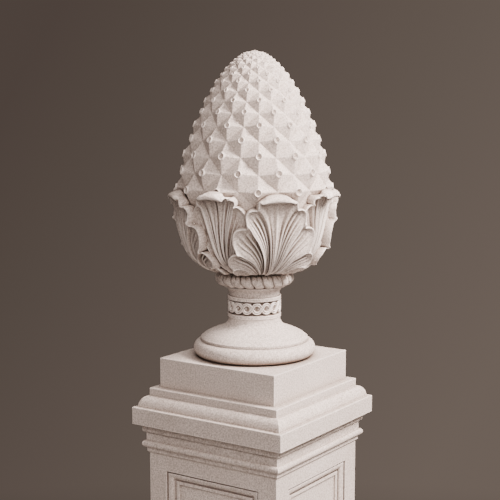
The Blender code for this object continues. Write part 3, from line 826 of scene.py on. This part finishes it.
def leaf_flank(crest, degrees, radius, height):
    """Rows from the crest down to the stone behind it, wider and swollen to a lip at the tip."""
    x = np.radians(degrees) * radius
    dx, dz = np.gradient(x), np.gradient(height)
    length = np.hypot(dx, dz) + 1e-9
    # The crest runs from right to left, so its right-hand normal points out of the leaf
    way_x, way_z = averaged(dz / length, CREST_SMOOTHING), averaged(-dx / length, CREST_SMOOTHING)
    tip = smoothstep(*LIP_SPAN, crest[:, 1]) * np.clip(way_z, 0.0, 1.0) ** 2
    tip = tip * (1 - LIP_TAPER * (crest[:, 0] / LIP_HALF_ANGLE) ** 2)
    tip = averaged(np.clip(tip, 0.0, 1.0), LIP_SMOOTHING)
    width = FLANK_WIDTH + (LIP_HEIGHT - FLANK_WIDTH) * tip
    rows = []
    for q in np.linspace(0, 1, FLANK_ROWS + 1)[1:] ** FLANK_CROWDING:
        reach = round(FLANK_SMOOTHING * q)
        outward = q ** FLANK_OUT_POWER
        side_way = averaged(x + way_x * width * outward, reach)
        rise = averaged(height + way_z * width * outward, reach)
        swell = LIP_SWELL * tip * math.sin(math.pi * outward)
        sunk = averaged(radius, reach) - FLANK_DROP * q ** FLANK_DROP_POWER + swell
        rows.append((np.degrees(side_way / radius), sunk, rise))
    return rows


def acanthus_leaf(index, path):
    """One leaf: fluted blade, crest, flank, and a plain back inside the stone."""
    is_front = index % 2 == 1
    crest = leaf_crest(FRONT_LOBES, FRONT_STEPS) if is_front else leaf_crest(BACK_LOBES, BACK_STEPS)
    degrees, radius, height = leaf_surface(path, crest, is_front)
    rows = [(degrees[:, j], radius[:, j], height[:, j]) for j in range(degrees.shape[1])]
    rows += leaf_flank(crest, *rows[-1])
    centre = index * 360 / LEAF_COUNT + LEAF_TURN
    loops = [around(centre + row[0], row[1], row[2]) for row in rows]
    back_degrees, back_radius, back_height = rows[-1]
    for share, inward in BACK_SHARES:
        loops.append(around(centre + back_degrees * share, back_radius * inward,
                            BACK_HEIGHT + (back_height - BACK_HEIGHT) * share))
    points = np.array(loops)
    count, columns = points.shape[:2]
    faces = grid_faces(count, columns)
    faces.append([row * columns for row in range(count)])
    faces.append([row * columns + columns - 1 for row in range(count)][::-1])
    faces.append(list(range(columns)) + list(range((count - 1) * columns, count * columns))[::-1])
    piece = new_piece("acanthus_leaf_" + str(index), points.reshape(-1, 3).tolist(), faces, FINIAL)
    return stand_finial(piece)


# Rope collar

def rope_piece():
    """Laid rope: slanting grooves between the strands and a short nick in the top of each strand."""
    columns = ROPE_STRANDS * ROPE_STRAND_STEPS
    angle = round_angles(columns)
    loops = []
    for turn in np.linspace(-math.pi, math.pi, ROPE_RINGS + 1)[:-1]:
        slant = ROPE_SLANT_BELOW * smoothstep(*ROPE_BELOW_SPAN, turn)
        slant -= ROPE_SLANT_ABOVE * smoothstep(*ROPE_ABOVE_SPAN, turn)
        share = (angle / 360 * ROPE_STRANDS - slant) % 1.0
        across = np.abs(share - 0.5) * 2
        depth = ROPE_ROUNDING * across ** 3 + (1 - ROPE_ROUNDING) * smoothstep(*ROPE_GROOVE_SPAN, across)
        nick = bell(share - ROPE_NICK_PLACE, ROPE_NICK_WIDTH) * smoothstep(*ROPE_NICK_SPAN, turn)
        reach = ROPE_RADIUS - ROPE_GROOVE * depth - ROPE_NICK * nick
        radius = ROPE_RING_RADIUS + reach * math.cos(turn)
        loops.append(around(angle + ROPE_TURN, radius, ROPE_HEIGHT + reach * math.sin(turn)))
    faces = grid_faces(ROPE_RINGS, columns, round_columns=True, round_rows=True)
    vertices = np.array(loops).reshape(-1, 3).tolist()
    return stand_finial(new_piece("rope_collar", vertices, faces, FINIAL))


# Turned foot and neck, with the guilloche band

def arc(centre, radii, start, end, steps):
    """Elliptical arc in a profile, with angles from the outward direction."""
    angle = np.radians(np.linspace(start, end, steps + 1))
    return np.stack([centre[0] + radii[0] * np.cos(angle), centre[1] + radii[1] * np.sin(angle)], axis=-1)


def soften(profile, radius):
    """Round the sharp corners of a profile."""
    points = [np.array(p, float) for p in profile]
    out = [points[0]]
    for a, b, c in zip(points, points[1:], points[2:]):
        before, after = np.linalg.norm(b - a), np.linalg.norm(c - b)
        way_in, way_out = (b - a) / before, (c - b) / after
        turn = math.degrees(math.acos(np.clip(way_in @ way_out, -1, 1)))
        if turn < CORNER_TURN:
            out.append(b)
            continue
        wanted = radius * math.tan(math.radians(min(turn, CORNER_WIDEST)) / 2)
        reach = min(wanted, CORNER_SHARE * before, CORNER_SHARE * after)
        start, end = b - way_in * reach, b + way_out * reach
        for t in np.linspace(0, 1, 4):
            out.append(start * (1 - t) ** 2 + b * 2 * t * (1 - t) + end * t * t)
    out.append(points[-1])
    return np.array(out)


def turned_part(name, profile, columns):
    """Part of the finial turned from a profile of radius and height."""
    loops = [around(round_angles(columns), radius, height) for radius, height in profile]
    return stand_finial(turned_piece(name, loops, FINIAL))


def foot_piece():
    """Torus, fillet, dome and cove, up to the foot of the band."""
    tube = TORUS_HEIGHT / 2
    torus = arc((TORUS_RADIUS - tube, tube), (tube, tube), -90, 90, 20)
    fillet = [(RIM_RADIUS, TORUS_HEIGHT), (RIM_RADIUS, RIM_TOP)]
    profile = np.vstack([torus, fillet, smooth_curve(BELL_PROFILE, 6), [FOOT_HEAD]])
    return turned_part("turned_foot", soften(profile, FOOT_SOFTNESS), FOOT_COLUMNS)


def neck_piece():
    """Cavetto of the neck and the lip over it."""
    foot = BAND_TOP - NECK_SUNK
    radii = (NECK_LIP_RADIUS - NECK_RADIUS, NECK_LIP_HEIGHT - NECK_FOOT)
    cavetto = arc((NECK_LIP_RADIUS, NECK_FOOT), radii, 180, 90, 14)
    lip = [(NECK_LIP_RADIUS, NECK_LIP_TOP), *NECK_HEAD]
    profile = np.vstack([[(NECK_CORE_RADIUS, foot), (NECK_RADIUS, foot)], cavetto, lip])
    return turned_part("neck", soften(profile, NECK_SOFTNESS), NECK_COLUMNS)


def strand_distance(x, y):
    """Distance from the middle of the strand that climbs from one eye's foot to the next eye's top.

    x and y run from the crossing between the two eyes.
    """
    lean = math.asin(2 * RIBBON_CENTRE / BAND_PITCH)
    along = x * math.cos(lean) + y * math.sin(lean)
    off = -x * math.sin(lean) + y * math.cos(lean)
    half = BAND_PITCH / 2 * math.cos(lean)
    right = np.abs(np.hypot(x - BAND_PITCH / 2, y) - RIBBON_CENTRE)
    left = np.abs(np.hypot(x + BAND_PITCH / 2, y) - RIBBON_CENTRE)
    return np.where(along > half, right, np.where(along < -half, left, np.abs(off)))


def ribbon_height(distance):
    """Height of a ribbon's two beads against the distance from its middle, and of the ground beside it."""
    half = RIBBON_WIDTH / 2
    beads = np.abs(np.sin(np.pi * np.clip(distance / half, 0, 1))) ** RIBBON_BEAD_POWER
    return np.where(distance < half, -RIBBON_RELIEF * (1 - beads) - RIBBON_SET_BACK, -BAND_GROUND)


def band_height(x, y):
    """Height of the carving over the band's face, from an eye's middle and the band's middle line."""
    best = np.full(x.shape, -BAND_GROUND)
    for shift in (x - BAND_PITCH / 2, x + BAND_PITCH / 2):
        over = ribbon_height(strand_distance(shift, y))
        dip = UNDERPASS * (1 - smoothstep(*UNDERPASS_SPAN, np.hypot(shift, y)))
        under = ribbon_height(strand_distance(-shift, y)) - dip
        inside = np.abs(shift) <= BAND_PITCH / 2 + 1e-9
        best = np.where(inside, np.maximum(best, np.maximum(over, under)), best)
    hole = np.hypot(x, y)
    eye = RIBBON_CENTRE - RIBBON_WIDTH / 2
    cup = -BAND_EYE_DEPTH * np.sqrt(1 - BAND_EYE_CUP * np.clip(hole / eye, 0, 1) ** 2)
    best = np.where(hole < eye, cup, best)
    zone = (BAND_TOP - BAND_BOTTOM) / 2 - BAND_FILLET
    below, above = BAND_FILLET_EDGE
    return best * (1 - smoothstep(zone - below, zone + above, np.abs(y)))


def band_piece():
    """Guilloche: two ribbons wound round a row of eyes, between two fillets."""
    columns = BAND_EYES * BAND_EYE_STEPS
    middle = (BAND_TOP + BAND_BOTTOM) / 2
    x = ((np.arange(columns) % BAND_EYE_STEPS) / BAND_EYE_STEPS - 0.5) * BAND_PITCH
    angle = BAND_TURN - 180 / BAND_EYES + round_angles(columns)
    loops = [around(angle, BAND_CORE_RADIUS, BAND_BOTTOM + BAND_CORE_INSET)]
    loops.append(around(angle, BAND_RADIUS - BAND_ARRIS, BAND_BOTTOM))
    for height in np.linspace(BAND_BOTTOM, BAND_TOP, BAND_ROWS):
        lift = band_height(x, np.full(columns, height - middle))
        edge = min(height - BAND_BOTTOM, BAND_TOP - height)
        ease = BAND_ARRIS_DROP * (1 - min(1.0, edge / BAND_ARRIS)) ** 2
        loops.append(around(angle, BAND_RADIUS + lift - ease, height))
    loops.append(around(angle, BAND_RADIUS - BAND_ARRIS, BAND_TOP))
    loops.append(around(angle, BAND_CORE_RADIUS, BAND_TOP - BAND_CORE_INSET))
    return stand_finial(turned_piece("guilloche_band", loops, FINIAL))


# Square stones

def square_loops(profile):
    """Loops of the four corners of square sections, each a side and a height."""
    corners = np.array(((-1, -1), (1, -1), (1, 1), (-1, 1))) / 2
    return [np.column_stack([corners * side, np.full(4, height)]) for side, height in profile]


def soft_arrises(piece):
    """Small rounded arrises on all the sharp edges."""
    modifier = piece.modifiers.new("arrises", "BEVEL")
    modifier.width = ARRIS_SOFTNESS
    modifier.segments = 3
    modifier.limit_method = "ANGLE"
    modifier.angle_limit = math.radians(ARRIS_ANGLE)
    modifier.harden_normals = True
    return piece


def cap_piece():
    """Fascia, ovolo, step and plinth."""
    ovolo_foot = CAP_BOTTOM + FASCIA_HEIGHT
    step_foot = ovolo_foot + OVOLO_HEIGHT
    plinth_foot = step_foot + STEP_HEIGHT
    profile = [(FASCIA_SIDE, CAP_BOTTOM), (FASCIA_SIDE, ovolo_foot)]
    ovolo = arc((STEP_SIDE / 2, ovolo_foot), ((OVOLO_SIDE - STEP_SIDE) / 2, OVOLO_HEIGHT), 0, 90, 14)
    profile += [(radius * 2, height) for radius, height in ovolo]
    profile += [(STEP_SIDE, plinth_foot), (PLINTH_SIDE, plinth_foot), (PLINTH_SIDE, PLINTH_TOP)]
    return soft_arrises(turned_piece("cap_stone", square_loops(profile), CAP))


def bed_moulding_profile():
    """Side and height of the fillet, bead, frieze and cyma above the block."""
    profile = [(BED_FILLET_SIDE, BLOCK_HEIGHT + height) for height in (BED_FILLET_FOOT, BED_FILLET_TOP)]
    bead = arc((FRIEZE_SIDE / 2, BLOCK_HEIGHT + BEAD_CENTRE), (BEAD_RADIUS, BEAD_RADIUS), -90, 90, 14)
    profile += [(radius * 2, height) for radius, height in bead]
    foot = np.array((FRIEZE_SIDE / 2, BLOCK_TOP - CYMA_HEIGHT - CYMA_LIP))
    head = np.array((CYMA_SIDE / 2, BLOCK_TOP - CYMA_LIP))
    t = np.linspace(0, 1, 15)[:, None]
    low, high = np.array((head[0], foot[1])), np.array((foot[0], head[1]))
    curve = foot * (1 - t) ** 3 + low * 3 * t * (1 - t) ** 2 + high * 3 * t * t * (1 - t) + head * t ** 3
    profile += [(radius * 2, height) for radius, height in curve]
    profile.append((CYMA_SIDE, BLOCK_TOP))
    return profile


def panel_profile():
    """Inset from the panel's edge and depth below the face."""
    ovolo = [tuple(p) for p in arc(PANEL_OVOLO_CENTRE, PANEL_OVOLO_RADII, 90, 0, 10)]
    return [*PANEL_QUIRK, *ovolo, *PANEL_CHANNEL, *PANEL_FILLET, *PANEL_FIELD]


def add_square(vertices, faces, corners, previous):
    """Add four corners and the faces between them and the previous four, and give their numbers."""
    here = [len(vertices) + n for n in range(4)]
    vertices += [tuple(corner) for corner in corners]
    for n in range(4):
        m = (n + 1) % 4
        faces.append((previous[n], previous[m], here[m], here[n]))
    return here


def block_piece():
    """Square block with a sunk moulded panel on each side and the bed moulding on top."""
    half = BLOCK_SIDE / 2
    ends = square_loops([(BLOCK_SIDE, 0.0), (BLOCK_SIDE, BLOCK_HEIGHT)])
    vertices = [tuple(corner) for loop in ends for corner in loop]
    faces = [(3, 2, 1, 0)]
    for side in range(4):
        after = (side + 1) % 4
        previous = [side, after, after + 4, side + 4]
        for inset, depth in panel_profile():
            reach = half - STILE_WIDTH - inset
            low = BOTTOM_RAIL + inset
            high = BLOCK_HEIGHT - TOP_RAIL - inset
            corners = [around(side * 90, half - depth, z) + around(side * 90 + 90, x, 0.0)
                       for x, z in ((-reach, low), (reach, low), (reach, high), (-reach, high))]
            previous = add_square(vertices, faces, corners, previous)
        faces.append(previous)
    previous = [4, 5, 6, 7]
    for loop in square_loops(bed_moulding_profile()):
        previous = add_square(vertices, faces, loop, previous)
    faces.append(previous)
    piece = new_piece("pier_block", vertices, faces, BLOCK)
    weld(piece)
    return soft_arrises(piece)


# Cast stone

def cast_stone():
    """Pale warm stone with clouds and flecks, painted shade in its hollows, painted highlights on its arrises
    and a sandy surface.
    """
    material = bpy.data.materials.new("cast_stone_pale")
    material.use_nodes = True
    tree = material.node_tree
    nodes, links = tree.nodes, tree.links
    shader = nodes["Principled BSDF"]
    shader.inputs["Roughness"].default_value = STONE_ROUGHNESS
    shader.inputs["Specular IOR Level"].default_value = STONE_SPECULAR
    place = nodes.new("ShaderNodeTexCoord")

    def noise(scale, detail, roughness):
        """Noise in the stone's own coordinates."""
        node = nodes.new("ShaderNodeTexNoise")
        node.inputs["Scale"].default_value = scale
        node.inputs["Detail"].default_value = detail
        node.inputs["Roughness"].default_value = roughness
        links.new(place.outputs["Object"], node.inputs["Vector"])
        return node.outputs["Fac"]

    def openness(width, inside):
        """How open the surface is within a width, to the air or to the stone inside."""
        node = nodes.new("ShaderNodeAmbientOcclusion")
        node.samples = 8
        node.inside = inside
        node.only_local = inside
        node.inputs["Distance"].default_value = width
        return node.outputs["AO"]

    def multiplied(first, second):
        """Product of two colours."""
        node = nodes.new("ShaderNodeMix")
        node.data_type = "RGBA"
        node.blend_type = "MULTIPLY"
        node.inputs["Factor"].default_value = 1.0
        links.new(first, node.inputs["A"])
        links.new(second, node.inputs["B"])
        return node.outputs["Result"]

    clouds = colour_ramp(tree, noise(*CLOUD_NOISE), CLOUD_TONES)
    colour = multiplied(clouds, colour_ramp(tree, noise(*FLECK_NOISE), FLECK_TONES))
    # Painted shade: the colour darkens in hollows and creases, where the surface is closed in
    for width, darkest, clear in HOLLOW_PAINTED_SHADE:
        tones = ((HOLLOW_SHADE_FULLEST, darkest), (clear, (1, 1, 1, 1)))
        colour = multiplied(colour, colour_ramp(tree, openness(width, False), tones))
    # Painted highlight: the colour is lightened along convex arrises, where they would catch the light
    amounts = [(position, (amount, amount, amount, 1)) for position, amount in ARRIS_HIGHLIGHT_AMOUNTS]
    highlighted = nodes.new("ShaderNodeMix")
    highlighted.data_type = "RGBA"
    highlighted.inputs["B"].default_value = ARRIS_HIGHLIGHT_COLOUR
    links.new(colour_ramp(tree, openness(ARRIS_HIGHLIGHT_WIDTH, True), amounts), highlighted.inputs["Factor"])
    links.new(colour, highlighted.inputs["A"])
    links.new(highlighted.outputs["Result"], shader.inputs["Base Color"])
    bump = nodes.new("ShaderNodeBump")
    bump.inputs["Strength"].default_value = BUMP_STRENGTH
    bump.inputs["Distance"].default_value = BUMP_HEIGHT
    links.new(noise(*SAND_NOISE), bump.inputs["Height"])
    links.new(bump.outputs["Normal"], shader.inputs["Normal"])
    return material


# Studio

def direction(azimuth, elevation):
    """Direction out from the axis, by degrees round it and degrees above the level."""
    a, e = math.radians(azimuth), math.radians(elevation)
    return Vector((math.sin(a) * math.cos(e), -math.cos(a) * math.cos(e), math.sin(e)))


def look_from(thing, way):
    """Turn a camera or a lamp so that it looks back along a direction."""
    thing.rotation_euler = (-way).to_track_quat("-Z", "Y").to_euler()


def add_camera():
    """Camera at the photograph's viewing angle."""
    data = bpy.data.cameras.new("camera")
    data.lens = LENS
    data.sensor_width = SENSOR_WIDTH
    camera = new_object("camera", data)
    level = Vector((0, 0, PLINTH_TOP + CAMERA_HEIGHT))
    camera.location = level + direction(CAMERA_AZIMUTH, 0) * CAMERA_DISTANCE
    look_from(camera, direction(CAMERA_AZIMUTH + CAMERA_YAW, CAMERA_PITCH))
    bpy.context.scene.camera = camera


def add_lamp(name, from_camera, elevation, width, watts):
    """Large soft lamp aimed at the middle of the object, placed by its direction."""
    data = bpy.data.lights.new(name, "AREA")
    data.shape = "SQUARE"
    data.size = width
    data.energy = watts
    data.color = LAMP_COLOUR
    lamp = new_object(name, data)
    way = direction(CAMERA_AZIMUTH + from_camera, elevation)
    lamp.location = Vector((0, 0, LAMP_TARGET)) + way * LAMP_DISTANCE
    look_from(lamp, way)


def add_floor():
    """Plain pale floor under the block."""
    mesh = bpy.data.meshes.new("floor")
    columns = 64
    outline = around(round_angles(columns), FLOOR_RADIUS, FLOOR_LEVEL)
    mesh.from_pydata(outline.tolist(), [], [list(range(columns))])
    floor = new_object("floor", mesh)
    paint = bpy.data.materials.new("floor_paint")
    paint.use_nodes = True
    shader = paint.node_tree.nodes["Principled BSDF"]
    shader.inputs["Base Color"].default_value = FLOOR_COLOUR
    shader.inputs["Roughness"].default_value = 0.9
    mesh.materials.append(paint)


def add_surround():
    """Plain warm-grey surround, lighter towards the lower right and darker far below."""
    world = bpy.data.worlds.new("surround")
    bpy.context.scene.world = world
    world.use_nodes = True
    tree = world.node_tree
    nodes, links = tree.nodes, tree.links
    place = nodes.new("ShaderNodeTexCoord")
    across = nodes.new("ShaderNodeVectorMath")
    across.operation = "DOT_PRODUCT"
    azimuth = math.radians(CAMERA_AZIMUTH)
    across.inputs[1].default_value = (math.cos(azimuth), math.sin(azimuth), SURROUND_SLOPE)
    links.new(place.outputs["Generated"], across.inputs[0])
    shift = nodes.new("ShaderNodeMath")
    shift.operation = "ADD"
    shift.inputs[1].default_value = SURROUND_MIDDLE
    links.new(across.outputs["Value"], shift.inputs[0])
    tone = colour_ramp(tree, shift.outputs["Value"], SURROUND_TONES)
    links.new(tone, nodes["Background"].inputs["Color"])
    parts = nodes.new("ShaderNodeSeparateXYZ")
    links.new(place.outputs["Generated"], parts.inputs["Vector"])
    below = nodes.new("ShaderNodeMapRange")
    below.inputs["From Min"].default_value = SURROUND_FADE[0]
    below.inputs["From Max"].default_value = SURROUND_FADE[1]
    below.inputs["To Min"].default_value = SURROUND_LOW_STRENGTH
    below.inputs["To Max"].default_value = 1.0
    links.new(parts.outputs["Z"], below.inputs["Value"])
    links.new(below.outputs["Result"], nodes["Background"].inputs["Strength"])


def main():
    """The studio, and the pieces of the three stones."""
    add_camera()
    add_floor()
    add_surround()
    for lamp in LAMPS:
        add_lamp(*lamp)
    path = blade_path()
    pieces = [egg_piece(), rope_piece(), band_piece(), neck_piece(), foot_piece(), cap_piece(), block_piece()]
    pieces += [acanthus_leaf(index, path) for index in range(LEAF_COUNT)]
    stone = cast_stone()
    for piece in pieces:
        piece.data.materials.clear()
        piece.data.materials.append(stone)
        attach(piece, "root")


main()
